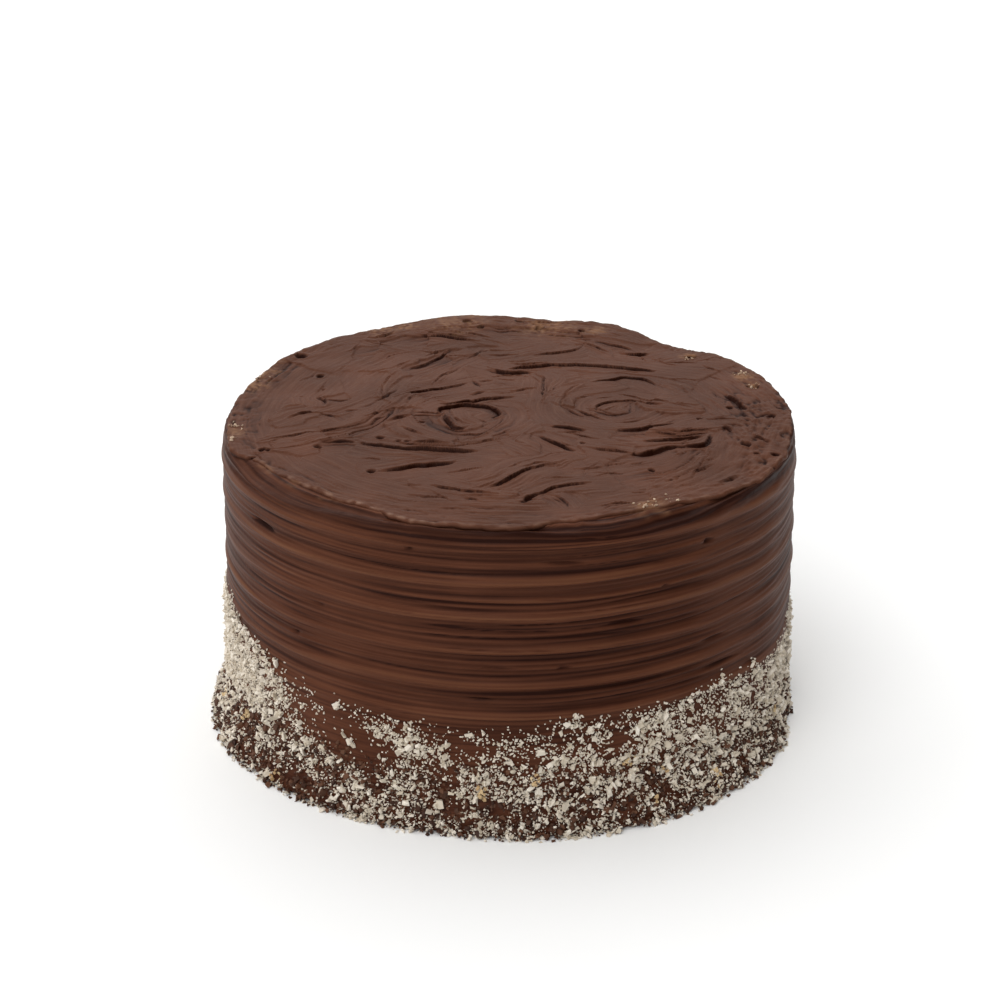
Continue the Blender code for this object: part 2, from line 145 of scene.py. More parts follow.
# Pulls of the knife on top, in millimetres: half width, depth, then the points of the pull.
# The steep side is on the left of its direction, so a pull towards +X has its wall in view.
PULLS = [
    (2.2, 2.0, (-8, 42.5), (-4, 40.5), (1, 38.5), (8, 40)),
    (1.2, 1.5, (0, 42), (7, 45.5), (14, 46.5), (25, 46), (36, 45), (45, 43), (54, 41)),
    (1.4, 1.9, (-24, -3), (-24.2, 1.5), (-20.5, 4.5), (-13.5, 6.4), (-8.5, 5), (-4.7, 1.5), (-3.6, -3),
     (-6, -6)),
    (1.6, 1.7, (-24, -3), (-21.5, -10), (-19.5, -15.5), (-16.5, -16.5), (-13.5, -14)),
    (0.8, 0.8, (-20, -1), (-18.5, -8), (-14, -12)),
    (0.9, 0.9, (-2, -5), (-3, -12), (-7, -18), (-12, -23.5), (-18, -28)),
    (1.7, 1.7, (-42, -10.5), (-38, -7), (-34, -4.5)),
    (1.0, 1.0, (-34, -4.5), (-29, -4), (-24.5, -5)),
    (1.6, 1.5, (-50, -28), (-42, -32.5), (-32, -34.5), (-23, -36), (-11, -37.5)),
    (2.0, 1.8, (-42, -53), (-36, -51.5), (-28, -49), (-17.5, -46)),
    (1.5, 1.6, (-63, -27), (-59, -26.3), (-53, -27)),
    (1.2, 1.2, (-32, -28.5), (-26, -29.5), (-20, -30)),
    (1.0, 1.2, (-40.5, 13.5), (-35, 18), (-31, 20), (-23.5, 24), (-15, 28)),
    (1.6, 1.5, (-13, 31), (-10, 25.5)),
    (1.6, 1.5, (-14, 17), (-8, 20.5)),
    (1.1, 1.2, (0.5, 20.5), (10, 22.5)),
    (1.3, 1.4, (-18, 8), (-12, 10.7), (-5, 13.5), (2, 14.5)),
    (0.9, 0.9, (-43.5, 42), (-40.5, 46), (-36.5, 50.5)),
    (1.1, 1.0, (-36.5, 43), (-32, 47), (-28, 52), (-25, 56), (-22, 62)),
    (1.0, 1.0, (-31.5, 55), (-26.5, 60), (-22, 63)),
    (0.8, 0.8, (-47, 52), (-43.5, 56.5), (-39.5, 59.3), (-35, 60.7)),
    (0.8, 0.8, (-15.5, 53.5), (-12, 58.5), (-10, 63)),
    (1.3, 1.2, (-36, 77), (-29, 75.7), (-22, 73.5), (-11, 70.5)),
    (1.2, 1.1, (-27, 78), (-20.7, 77), (-15, 75.7)),
    (1.0, 1.0, (-20, 80.5), (-13.5, 78.5), (-7, 75)),
    (1.4, 1.6, (-66.5, 16), (-67.5, 13), (-65.7, 10), (-65.5, 5)),
    (1.0, 1.0, (-65.7, 12), (-62, 10.7), (-57, 11)),
    (1.6, 1.5, (-57, 1.2), (-53, 0.8)),
    (1.2, 1.2, (-77, -5.5), (-73, -2), (-69, -0.7), (-66.5, -1.4)),
    (1.2, 1.1, (-66.5, -1.4), (-62, -3.5), (-59, -6.5)),
    (1.0, 1.1, (30, 0), (31.5, 5.7), (36, 10), (42, 11), (48, 9.3)),
    (1.4, 1.4, (46, 9.8), (50, 8), (54.5, 7)),
    (0.8, 0.7, (30, 0.7), (35, -1.4), (41.5, 0), (43, 5), (43, 8.5)),
    (0.9, 1.0, (10, 38), (13, 32), (12.5, 21), (11.9, 13.5), (12, 9)),
    (0.8, 0.8, (17, 27), (15, 21), (14, 15)),
    (1.2, 1.2, (15, 9), (17.5, 5)),
    (0.8, 0.8, (19, 5), (23, -1.4), (26, -3)),
    (0.7, 0.6, (20.7, 6.5), (20, 13.5), (21.5, 20.7), (26, 27)),
    (1.2, 1.2, (30, 30), (38, 32.3), (41.5, 34.3), (45, 33.5), (49.3, 31.5), (53.5, 26.5)),
    (0.8, 0.8, (60.7, 28), (64.3, 20)),
    (1.0, 1.1, (9, 58), (13.5, 60), (20.7, 61.5), (25.7, 63.5), (28.5, 68.5)),
    (1.2, 1.2, (28, 69), (32, 65.7), (37, 60.5)),
    (1.3, 1.2, (26, 74.3), (31.5, 74.3)),
    (1.5, 1.4, (33, 72), (39.3, 69.3), (46, 66.5)),
    (1.3, 1.3, (41, 60.7), (48, 59.3), (52, 62)),
    (1.0, 1.0, (49, 58), (51, 53)),
    (0.9, 0.9, (53, 57), (58, 50)),
    (0.8, 0.9, (71.5, 48), (77.5, 41)),
    (0.8, 0.8, (73, 38), (78, 32)),
    (1.7, 1.9, (15, -14.3), (20.7, -15.2), (26, -18)),
    (1.0, 1.0, (17, -19.3), (25, -19.6)),
    (1.3, 1.4, (10, -23), (15, -28.5), (19.3, -33.5), (22.5, -35.5)),
    (0.9, 0.9, (26, -34), (36.5, -37), (41, -39.5)),
    (2.1, 2.1, (41, -40), (48, -38), (53.5, -34), (59.5, -32)),
    (1.5, 1.6, (58, -33.5), (65, -31), (68, -26.5), (69.5, -20)),
    (1.4, 1.5, (46, -27), (52, -28), (59.3, -26.5), (66.5, -22)),
    (1.2, 1.2, (39, -17), (45, -16.5), (50.7, -13), (56.5, -9)),
    (0.9, 0.9, (50, -18), (59.3, -18.3), (68, -16.5), (74, -14.5)),
    (0.8, 0.8, (51, -23), (60.7, -21.8), (69.3, -17.5)),
    (2.0, 2.0, (73.5, -17), (75, -13.5), (77, -18)),
    (0.9, 0.9, (70, -29), (67, -39.3), (63.5, -48), (59.3, -53.5), (53, -60)),
    (0.7, 0.7, (64, -36), (60, -45), (53, -52), (44, -56)),
    (1.0, 1.2, (-5.7, -66.5), (0, -61.5), (5, -54), (9.3, -50.7), (20, -44)),
    (1.9, 1.9, (3.5, -78.5), (9.3, -73)),
    (1.2, 1.4, (9.3, -73), (13.5, -68.5), (19.3, -64.3), (26.5, -62.7)),
    (0.8, 0.7, (12, -72), (16.5, -75), (19.3, -82)),
    (1.1, 1.1, (-25, -67), (-20.7, -69.3), (-13.5, -71.5), (-3, -73.7)),
    (1.2, 1.2, (-15, -75.7), (-9, -79)),
    (0.8, 0.8, (-34, -65), (-28, -66.3)),
    (0.6, 0.6, (-25, -70.7), (-18, -79.3)),
    (1.3, 1.3, (51, -61), (56, -58.3)),
    (1.3, 1.3, (40.5, -70), (44, -69.8)),
    (1.0, 1.0, (25, -44.5), (26, -49)),
    (0.9, 0.9, (25, -52), (25, -58.5)),
    (1.8, 1.9, (78, 18), (80.7, 12), (84, 4)),
    (1.3, 1.4, (83, -19), (88.5, -24)),
    (1.4, 1.4, (69, -59.5), (77, -51.5)),
    (1.0, 1.1, (80, -40), (77, -48)),
    (0.8, 0.7, (-85, -25), (-69, -19), (-58, -15.7), (-50.7, -11), (-46.5, -2), (-43.5, 6.5)),
    (0.8, 0.7, (-44, 12), (-46, 20), (-45, 29), (-41, 40)),
    (0.7, 0.6, (-60, -23), (-50, -17), (-44, -9), (-41, 1)),
    (0.7, 0.6, (-80, -33), (-66, -27), (-56, -21)),
    (0.7, 0.7, (-63, 40), (-60, 47)),
    (0.7, 0.6, (-40, -27), (-25, -32), (-12, -30), (0, -24)),
    (0.8, 0.7, (-50, -42), (-42, -43.5)),
    (0.7, 0.6, (-22, 36), (-26, 30), (-34, 26)),
    (0.7, 0.7, (4, -22), (2, -27), (5, -31)),
]

# Sweeps of the knife that show only as fine lines: centre, radius, first and last angle
SWEEPS = [(38, 4, 12, 60, 330), (38, 4, 20, 100, 300), (39, 3, 28, 95, 230), (-13, -4, 15, 200, 420),
          (-13, -4, 24, 190, 330), (0, 0, 88, 200, 300), (0, 0, 80, 215, 275), (0, 0, 90, 60, 150),
          (0, 0, 82, 75, 130), (0, 0, 90, 300, 350), (-95, 45, 52, 300, 350), (-95, 45, 60, 300, 345),
          (-100, 40, 68, 295, 340), (0, 0, 90, 150, 200), (-20, 120, 62, 235, 300)]
# How wide and deep the cuts are for the pulls' half widths and depths
CUT_WIDTH = 0.58
CUT_DEPTH = 0.66
# Spacing of the points along a sweep of the knife, in millimetres
PATH_STEP = 1.2
# Moves each sweep's fine lines along, so that they differ from its neighbour's: in shape, in colour
LINES_APART = 9.7
STREAKS_APART = 31.0
# Light pulls between the others: how many are drawn, and how far out, in millimetres
LITTLE_PULL_COUNT = 340
LITTLE_PULL_REACH = 93
LITTLE_PULL_SEED = 5
# Places that the knife left nearly plain: centre and radius
CALM_PLACES = [(-57, -46, 17), (-40, -62, 14), (-78, 12, 14), (-60, 32, 12), (-66, -8, 8), (-24, -22, 9),
               (5, -8, 10), (-10, 50, 9), (38, 48, 8), (-72, 50, 10), (36, -6, 6)]

# Deep little holes in the top: place and half width, in millimetres
PITS = [(-69, 35, 1.3), (-77.5, 54, 1.9), (-84, -32, 1.2), (-81.5, -32.5, 0.9), (-86.5, -38.5, 1.0),
        (-65, -30.7, 1.2), (-45, -53, 1.2), (-44, -24, 1.0), (-38, -26.5, 0.8), (-35, -27, 0.8),
        (81, -27, 1.4), (92, -1, 1.3), (88, 26, 1.6), (90, -35, 1.1), (84, -34, 1.0),
        (68, 58, 1.6), (78, 6, 1.0), (-30, -10, 0.8), (47, -52, 0.9), (-16, 90, 1.5), (4, 92, 1.5),
        (12, 86, 1.3), (-11, 85, 1.0), (28, 82, 1.1), (-67, 22, 0.6), (25, -30, 0.8), (66, -6, 0.9)]

# Places where the icing is thin and the tan crumb shows through: x, y, half width, strength.
# The one on the front rim, at (45, -81), is a painted glint in the same tan.
THIN_ICING_AND_GLINT_PLACES = [(-92, 42, 7, 0.8), (-93, 28, 6, 0.8), (-88, 50, 5, 0.6), (-20, 92, 14, 0.5),
               (15, 88, 13, 0.5), (-50, 84, 8, 0.6), (67, 60, 4, 0.7), (86, 36, 4, 0.9),
               (88, 28, 3, 0.8), (-95, -16, 5, 0.6), (-84, -48, 6, 0.6), (-74, -62, 6, 0.5),
               (45, -81, 6, 0.6), (-40, 86, 6, 0.6), (33, 84, 6, 0.5), (-60, -74, 6, 0.4)]
# Heights over which it begins, so that it shows on the rim and not on the side
THIN_HEIGHTS = (CAKE_HEIGHT - 3.5 * MM, CAKE_HEIGHT - 1.5 * MM)

# Coconut: height that it reaches by angle
COCONUT_EDGE = [(0, 39), (10, 44), (20, 44), (33, 43), (45, 44), (60, 40), (90, 48), (130, 42), (175, 46),
                (220, 40), (262, 50), (285, 53), (300, 48), (315, 44), (325, 42), (340, 39), (350, 37)]
# Thick patches: angle, height, half widths and weight. Bare patches have a weight below 0.
PATCHES = [(-68, 36, 14, 13, 1.2), (-80, 34, 12, 16, 0.8), (-60, 26, 8, 8, 0.5), (-30, 38, 4, 3, 0.7),
           (-20, 38, 3, 3, 0.7), (-4, 38, 4, 3, 0.7), (3, 43, 3, 4, 0.7), (8, 43, 2, 3, 0.6),
           (24, 44, 2.5, 3.5, 0.8), (46, 43, 4, 3.5, 0.9), (18, 44, 1.5, 2.5, 0.6), (33, 38, 6, 5, 0.3),
           (60, 32, 12, 6, 0.15), (40, 22, 14, 8, 0.15), (-18, 28, 3, 4, 0.5), (-10, 24, 4, 3, 0.5),
           (14, 28, 3, 4, 0.5), (66, 30, 6, 8, 0.45), (-64, 9, 14, 8, -0.3),
           (-24, 31, 1.5, 1.5, 0.8), (-38, 34, 1.2, 1.5, 0.8), (-31, 26, 1.5, 1.2, 0.7),
           (-27, 33, 1.2, 1.2, 0.7),
           (-36, 28, 10, 8, -0.5), (-34, 36, 8, 5, -0.42), (-28, 21, 8, 5, -0.45), (-42, 5, 7, 4, -0.9),
           (-6, 32, 5, 3, -0.4), (8, 35, 4, 3, -0.3), (20, 9, 5, 3, -0.5), (-62, 15, 4, 3, -0.4),
           (26, 4, 4, 2, -0.4), (-12, 10, 4, 3, -0.3)]
# Top of the coconut, of the finest grit and of the dark crumbs
COCONUT_TOP = 56 * MM
GRIT_TOP = 40 * MM
CRUMB_TOP = 30 * MM
# How many there are: heaps of flakes, and single flakes, grains and crumbs
FLAKE_HEAPS = 3400
FINE_FLAKES = 13500
GRIT_GRAINS = 14000
DARK_CRUMBS = 8500
# Heaps of yellowish flakes: angle and height in millimetres. Then how many flakes a heap has, how
# far they spread and how high they lie.
TOASTED_HEAPS = [(23, 23), (5, 19), (-5, 15), (31, 16), (-63, 13), (28, 7), (42, 8), (110, 20),
                 (150, 12), (190, 26), (215, 9), (250, 18), (-76, 9), (65, 14), (-48, 3)]
TOASTED_FLAKES = 9
TOASTED_SPREAD = 1.3 * MM
COCONUT_SEED = 11
# How far loose flakes and crumbs lie out past the foot
FRINGE = 2 * MM
# Pale crumbs in the rim: place, half width and number. Those on the front rim, round (45, -81) and
# (52, -78), are pale chips put there as a painted glint.
RIM_CRUMBS_AND_GLINTS = [(-95, -10, 2.5, 16), (-95, -22, 2, 10), (-92, 38, 6, 12), (67, 57, 2, 10), (85, 38, 2.5, 16),
              (88, 28, 2, 8), (45, -81, 5, 14), (52, -78, 5, 8)]
RIM_CRUMB_SEED = 3

# Browns of the icing: plain dark and light, the painted shade in the cuts and under the comb's ridges,
# and the painted highlight along the top's edge and on the comb's crests. The top's plain browns are
# a little greyer than the side's, which paints part of its sheen.
SPREAD_BROWNS = ("#42271b", "#653f2f", "#220a03", "#7c5e4e")
COMBED_BROWNS = ("#4a291b", "#603928", "#28110a", "#6f4832")
# The cake's crumb where it shows through thin icing, and the colour of the painted glint on the front rim
TAN_CRUMB_AND_GLINT = "#7d5a42"
# Size of the broad lighter and darker clouds in the icing
CLOUD_SIZE = 24 * MM
# Sugar grain and air bubbles, drawn coarser than the real 0.3 mm so that they show
GRAIN_SIZE = 1.3 * MM
# How close the fine lines lie that the knife and the comb drew, for each millimetre
LINE_SCALE = 1.1

# Soft lights: angle round the cake, elevation, strength, and width in degrees
LIGHTS = {"back_light": (188, 58, 2.3, 100), "front_light": (-25, 46, 1.5, 50),
          "left_light": (-95, 30, 0.55, 60)}
ROOM_LIGHT = 0.16
CAMERA_LENS = 83.4
CAMERA_PLACE = (0, -0.75667, 0.40781)
CAMERA_AIM = (-0.00314, 0, 0.07465)


def smooth_step(low, high, value):
    """0 at the low end, 1 at the high end, and a soft rise between them."""
    share = np.clip((value - low) / (high - low), 0, 1)
    return share * share * (3 - 2 * share)


def front_angle(x, y):
    """Degrees round the cake from the front, from 0 up to 360."""
    return np.degrees(np.arctan2(x, -y)) % 360


def degrees_off(angle, centre):
    """How far round an angle is from a centre, the short way, from -180 up to 180."""
    return (angle - centre + 180) % 360 - 180


def around(table, column, angle):
    """One column of a table in millimetres, read smoothly all the way round the cake."""
    degrees = np.array([row[0] for row in table] + [360], float)
    values = np.array([row[column] for row in table] + [table[0][column]]) * MM
    angle = np.asarray(angle) % 360
    place = np.clip(np.searchsorted(degrees, angle, side="right") - 1, 0, len(table) - 1)
    share = smooth_step(degrees[place], degrees[place + 1], angle)
    return values[place] * (1 - share) + values[place + 1] * share


def lumps(places, size, seed=0):
    """Smooth noise from about -1 to 1, with lumps of a size, at each of the places."""
    shift = Vector((seed * 7.3, seed * 3.1, seed * 5.7))
    if np.ndim(size) == 0:
        size = (size, size, size)
    stretched = places / np.array(size)
    return np.array([noise.noise(Vector(place) + shift) for place in stretched.tolist()])


def bands(places, run, rise, seed):
    """The same noise, drawn out round the cake: how far a band runs and how high it is, in mm."""
    return lumps(places, (run * MM, run * MM, rise * MM), seed)


def mesh_points(piece):
    """The places of a mesh's points, a row for each."""
    points = np.empty(len(piece.data.vertices) * 3)
    piece.data.vertices.foreach_get("co", points)
    return points.reshape(-1, 3)


def set_points(piece, points):
    """Moves a mesh's points to new places."""
    piece.data.vertices.foreach_set("co", points.ravel())
    piece.data.update()


def set_values(piece, name, values):
    """Stores a number for each point of a mesh, for its material to read."""
    layer = piece.data.attributes.new(name, "FLOAT", "POINT")
    layer.data.foreach_set("value", np.ascontiguousarray(values, dtype=np.float32))


def comb_share(level):
    """1 where the comb ran, fading to 0 above and below."""
    return smooth_step(*COMB_START, level) * (1 - smooth_step(*COMB_END, level))


def comb_scratches(places):
    """Thin grooves that run round the cake with the comb, from 0 to 1."""
    line = bands(places, 170, 3.2, 36)
    pressed = np.clip(0.4 + 1.5 * bands(places, 45, 9, 37), 0, 1)
    return np.exp(-(line / 0.05) ** 2) * pressed


def comb_relief(level, places):
    """How far the combed icing stands out, in metres."""
    heights = np.array([row[0] for row in COMB_OUTLINE]) * MM
    reliefs = np.array([row[1] for row in COMB_OUTLINE]) * MM
    wander = 0.4 * MM * bands(places, 70, 12, 3) + 0.1 * MM * bands(places, 14, 6, 4)
    phase = (level + wander - COMB_CREST_Z - heights[0]) % COMB_PITCH + heights[0]
    pressure = COMB_DEPTH * (1 + 0.3 * bands(places, 60, 12, 5))
    streaks = 0.6 * MM * (0.2 - np.abs(bands(places, 200, 2.4, 6)))
    streaks = streaks + 0.3 * MM * bands(places, 70, 1.1, 7)
    streaks = streaks - 0.25 * MM * comb_scratches(places)
    return (np.interp(phase, heights, reliefs) * pressure + streaks) * comb_share(level)


def nick_relief(angle, z):
    """Little gouges where the comb tore the icing."""
    relief = np.zeros(len(z))
    for centre, height, half_length, half_height, depth in NICKS:
        along = degrees_off(angle, centre) * math.radians(1) * CAKE_RADIUS
        across = z - height * MM + 0.05 * along
        away = (along / (half_length * MM)) ** 2 + (across / (half_height * MM)) ** 2
        relief -= depth * MM * np.exp(-away ** 1.5)
    return relief


def wall_radius(x, y, z):
    """Radius of the iced wall at a place round it and a height."""
    angle = front_angle(x, y)
    level = z - around(COMB_RUN, 1, angle)
    unit = np.stack([x, y, np.zeros_like(x)], axis=1)
    unit /= np.linalg.norm(unit, axis=1)[:, None]
    places = unit * CAKE_RADIUS
    places[:, 2] = z
    foot = around(FOOT, 1, angle) * (1 - smooth_step(0, FOOT_HEIGHT, z))
    spread = around(FOOT, 2, angle) * (1 - z / CAKE_HEIGHT)
    crumbly = 1 - 0.8 * smooth_step(*CRUMBLY_SHAPE, z) - 0.2 * smooth_step(*LAST_BUMPS, z)
    bumps = 0.6 * MM * lumps(places, 5 * MM, 1) + 0.6 * MM * lumps(places, 2.4 * MM, 2)
    slow = 0.45 * MM * lumps(places, 30 * MM, 8)
    plain = CAKE_RADIUS + foot + spread + bumps * crumbly + slow
    return plain + comb_relief(level, places) * around(COMB_RUN, 2, angle) + nick_relief(angle, z)


def rounded_path(points):
    """A smooth curve through a few points, in millimetres."""
    points = np.array(points, float)
    ends = np.vstack([2 * points[0] - points[1], points, 2 * points[-1] - points[-2]])
    curve = []
    for before, start, end, after in zip(ends, ends[1:], ends[2:], ends[3:]):
        count = max(int(np.linalg.norm(end - start) / PATH_STEP), 1)
        for share in np.arange(count)[:, None] / count:
            curve.append(0.5 * (2 * start + (end - before) * share
                                + (2 * before - 5 * start + 4 * end - after) * share ** 2
                                + (3 * start - before - 3 * end + after) * share ** 3))
    curve.append(points[-1])
    return np.array(curve)


def knife_pull(xy, half_width, depth, path):
    """Height, in millimetres, that one pull of the knife adds at each place."""
    height = np.zeros(len(xy))
    # past this the icing that it pushed aside is level again
    reach = 5 * half_width + 3
    near = np.all((xy > path.min(0) - reach) & (xy < path.max(0) + reach), axis=1)
    if not near.any():
        return height
    run = path[1:] - path[:-1]
    offset = xy[near][:, None] - path[None, :-1]
    share = np.clip((offset * run).sum(2) / (run ** 2).sum(1), 0, 1)
    away = offset - share[..., None] * run
    distance = np.linalg.norm(away, axis=2)
    closest = distance.argmin(1)
    rows = np.arange(len(closest))
    gap = distance[rows, closest] / half_width
    run, away = run[closest], away[rows, closest]
    left = run[:, 0] * away[:, 1] > run[:, 1] * away[:, 0]
    travelled = (closest + share[rows, closest]) / (len(path) - 1)
    length = len(path) - 1
    fade = np.clip(np.minimum(travelled, 1 - travelled) * length / 5, 0, 1)
    # a pull starts and ends shallow
    taper = 0.2 + 0.8 * fade
    beyond = (travelled <= 0) | (travelled >= 1)
    taper = taper * np.where(beyond, np.exp(-(gap / 0.7) ** 2), 1)
    # steep on its left, with a raised lip, and long and sunken on its right
    cut = np.where(left, np.exp(-(gap / 0.4) ** 2), np.exp(-(gap / 0.7) ** 2))
    lip = np.where(left, 0.5 * np.exp(-((gap - 1.0) / 0.7) ** 2) + 0.2 * np.exp(-gap / 2.6),
                   -0.22 * np.exp(-gap / 2.4))
    height[near] = depth * taper * (lip - 1.1 * cut)
    return height


def arc_points(x, y, radius, start, end):
    """Points every few degrees along an arc round a centre, in millimetres."""
    turns = np.radians(np.linspace(start, end, max(int(abs(end - start) / 15), 2) + 1))
    return np.column_stack([x + radius * np.cos(turns), y + radius * np.sin(turns)])


def knife_flow(worked):
    """Across and along the nearest sweep of the knife, its number, and its direction there."""
    sweeps = [rounded_path(points) for half_width, depth, *points in PULLS if len(points) > 2]
    sweeps += [rounded_path(arc_points(*arc)) for arc in SWEEPS]
    spots, runs, along, owner = [], [], [], []
    for number, path in enumerate(sweeps):
        run = np.gradient(path, axis=0)
        run /= np.linalg.norm(run, axis=1)[:, None]
        spots.append(path)
        runs.append(run)
        along.append(np.arange(len(path)) * PATH_STEP)
        owner.append(np.full(len(path), number))
    spots, runs = np.vstack(spots), np.vstack(runs)
    along, owner = np.concatenate(along), np.concatenate(owner)
    tree = KDTree(len(spots))
    for number, spot in enumerate(spots):
        tree.insert((*spot, 0), number)
    tree.balance()
    nearest = np.array([tree.find((x, y, 0))[1] for x, y in worked.tolist()])
    offset = worked - spots[nearest]
    run = runs[nearest]
    across = run[:, 0] * offset[:, 1] - run[:, 1] * offset[:, 0]
    return across, along[nearest] + (run * offset).sum(1), owner[nearest], run


def little_pulls():
    """Short light pulls of the knife that lie along its sweeps, away from the calm places."""
    dice = np.random.default_rng(LITTLE_PULL_SEED)
    spots = dice.uniform(-LITTLE_PULL_REACH, LITTLE_PULL_REACH, (LITTLE_PULL_COUNT, 2))
    spots = spots[np.hypot(*spots.T) < LITTLE_PULL_REACH]
    for x, y, radius in CALM_PLACES:
        spots = spots[np.hypot(spots[:, 0] - x, spots[:, 1] - y) > radius]
    runs = knife_flow(spots)[3]
    pulls = []
    for spot, run in zip(spots, runs):
        if run[0] < 0:
            run = -run
        turn = dice.normal(0, 0.16)
        run = np.array([run[0] * math.cos(turn) - run[1] * math.sin(turn),
                        run[0] * math.sin(turn) + run[1] * math.cos(turn)])
        side = np.array([-run[1], run[0]]) * dice.uniform(-0.12, 0.12)
        length = dice.uniform(4, 15)
        points = [spot - run * length / 2, spot + side * length, spot + run * length / 2]
        pulls.append((dice.uniform(0.45, 0.9), dice.uniform(0.3, 1.12) ** 1.5, *points))
    return pulls


def slow_rise(flat):
    """The wide, gentle rises and hollows of the top, in metres."""
    return 0.7 * MM * lumps(flat, 38 * MM, 15) + 0.38 * MM * lumps(flat, 11 * MM, 16)


def top_relief(xy):
    """Height of the worked icing above the mean top, in metres, at each place."""
    flat = np.column_stack([xy, np.zeros(len(xy))])
    # the knife's paths shake a little, so that no pull is a clean curve
    warp = np.column_stack([lumps(flat, 6 * MM, 11), lumps(flat, 6 * MM, 12)]) * 0.9
    warp += np.column_stack([lumps(flat, 2 * MM, 13), lumps(flat, 2 * MM, 14)]) * 0.35
    worked = xy / MM + warp
    broken = np.clip(1 + 0.6 * lumps(flat, 9 * MM, 9), 0.55, 1.3)
    height = np.zeros(len(xy))
    for half_width, depth, *points in PULLS + little_pulls():
        height += knife_pull(worked, half_width * CUT_WIDTH, depth * CUT_DEPTH, rounded_path(points))
    height *= broken
    for x, y, half_width in PITS:
        away = np.linalg.norm(worked - (x, y), axis=1) / half_width
        height += half_width * (0.25 * np.exp(-((away - 1.5) / 0.5) ** 2) - 1.3 * np.exp(-away ** 2))
    height += sweep_lines(flat, worked)
    return height * MM + slow_rise(flat) + torn_relief(flat, warp)


def torn_share(x, y):
    """Where the knife tore the icing: at the right, along the rim and at the back, from 0 to 1."""
    right = smooth_step(70, 84, x) * (1 - smooth_step(8, 30, y)) * smooth_step(-75, -60, y)
    rim = 0.45 * smooth_step(84, 93, np.hypot(x, y))
    back = 0.5 * smooth_step(78, 90, y)
    return np.maximum(np.maximum(right, rim), back)


def torn_relief(flat, warp):
    """Bumps, ragged hollows and little holes where the icing is torn, in metres."""
    x, y = flat[:, :2].T / MM
    rough = 0.6 * MM * lumps(flat, 5 * MM, 17) + 0.3 * MM * lumps(flat, 1.8 * MM, 18)
    round_it = np.column_stack([np.hypot(x, y), np.arctan2(y, x) * 90, np.zeros_like(x)])
    round_it = (round_it + 0.25 * warp[:, :1]) * MM
    rough -= 2.8 * MM * np.clip(0.13 - np.abs(lumps(round_it, (4.5 * MM, 11 * MM, 1), 19)), 0, 1)
    rough -= 1.1 * MM * np.clip(lumps(round_it, (1.8 * MM, 4 * MM, 1), 62) - 0.2, 0, 1)
    return rough * torn_share(x, y)


def sweep_lines(flat, worked):
    """Fine lines along the knife's sweeps, and a small step where one sweep laps another."""
    across, along, owner, _ = knife_flow(worked)
    ribbon = np.column_stack([across, along, owner * LINES_APART])
    lines = lumps(ribbon, (1.5, 16, 1), 20) + 0.6 * lumps(ribbon, (0.9, 12, 1), 21)
    patch = np.clip(0.45 + 1.4 * lumps(flat, 15 * MM, 22), 0.05, 1)
    laps = np.sin(owner * 2.4) * np.exp(-np.abs(across) / 14)
    return 0.38 * lines * patch + 0.3 * laps


def close_ends(piece, inward, down):
    """Turns the open borders of a mesh in under the surface and shuts them in the middle."""
    bpy.context.view_layer.objects.active = piece
    piece.select_set(True)
    bpy.ops.object.mode_set(mode="EDIT")
    bpy.ops.mesh.select_mode(type="EDGE")
    bpy.ops.mesh.select_all(action="DESELECT")
    bpy.ops.mesh.select_non_manifold()
    bpy.ops.mesh.extrude_region_move(TRANSFORM_OT_translate={"value": (0, 0, down)})
    bpy.ops.transform.resize(value=(inward, inward, 1), center_override=(0, 0, 0))
    bpy.ops.mesh.edge_face_add()
    bpy.ops.object.mode_set(mode="OBJECT")
    piece.select_set(False)


def finish_piece(piece, material):
    """Gives a piece its finish and lets it stand in for the plain solid."""
    piece.data.materials.clear()
    piece.data.materials.append(material)
    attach(piece, "root")
    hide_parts("cake")
    piece.select_set(False)


def square_to_disc(points):
    """Spreads a square grid evenly over a disc of radius 1, with its squares as rings."""
    a, b = points[:, 0], points[:, 1]
    wide = np.abs(a) > np.abs(b)
    safe_a, safe_b = np.where(a == 0, 1, a), np.where(b == 0, 1, b)
    radius = np.where(wide, a, b)
    turn = np.where(wide, math.pi / 4 * b / safe_a, math.pi / 2 - math.pi / 4 * a / safe_b)
    return np.stack([radius * np.cos(turn), radius * np.sin(turn)], axis=1)


def rim_rise(angle, share):
    """How much higher the top is towards its rim than in its middle."""
    return around(RIM, 2, angle) * smooth_step(0.66, 0.97, share)


def ragged_edge(unit, angle):
    """Radius of the top's edge, which the knife left ragged over the shoulder."""
    places = np.column_stack([unit * CAKE_RADIUS, np.zeros(len(unit))])
    return (around(RIM, 1, angle) + 0.2 * MM + 1.0 * MM * lumps(places, 15 * MM, 50)
            + 0.6 * MM * lumps(places, 5 * MM, 51) + 0.3 * MM * lumps(places, 2 * MM, 52))


